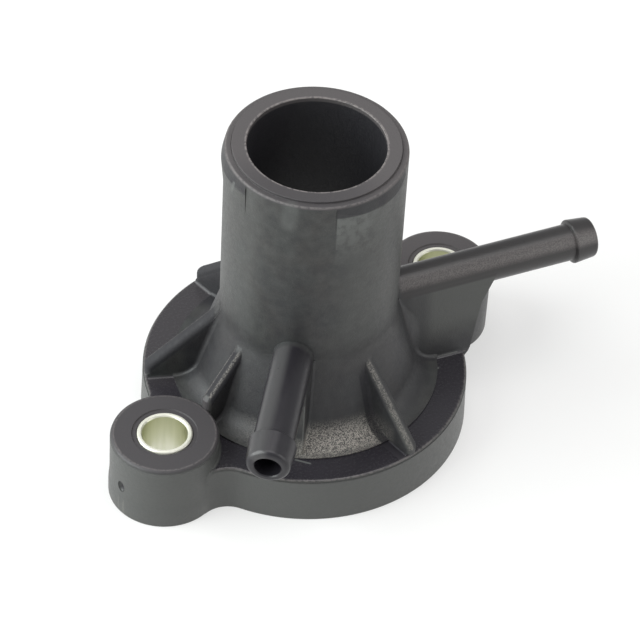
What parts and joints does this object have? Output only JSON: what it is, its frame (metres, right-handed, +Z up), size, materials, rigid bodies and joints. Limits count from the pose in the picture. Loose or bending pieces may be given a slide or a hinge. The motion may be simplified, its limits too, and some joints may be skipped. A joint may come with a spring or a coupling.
{
  "type": "thermostat housing",
  "caption": "Black moulded coolant outlet with a hose neck on a ribbed cone, a round flange with bolt lugs and metal sleeves, and barbed side pipes.",
  "frame": {"origin": "middle of the length and the width, on the sealing face that the part rests on", "axes": "+Z up along the hose neck, +X from the free-standing lug to the lug beside the side pipe"},
  "size_m": [0.1019, 0.0622, 0.0655],
  "materials": {
    "black_nylon": "matte, finely grained",
    "zinc_plated_steel": "turned, pale zinc"
  },
  "bodies": {
    "root": {"housing": "black_nylon", "bolt_sleeve_front": "zinc_plated_steel", "bolt_sleeve_rear": "zinc_plated_steel"}
  },
  "joints": []
}
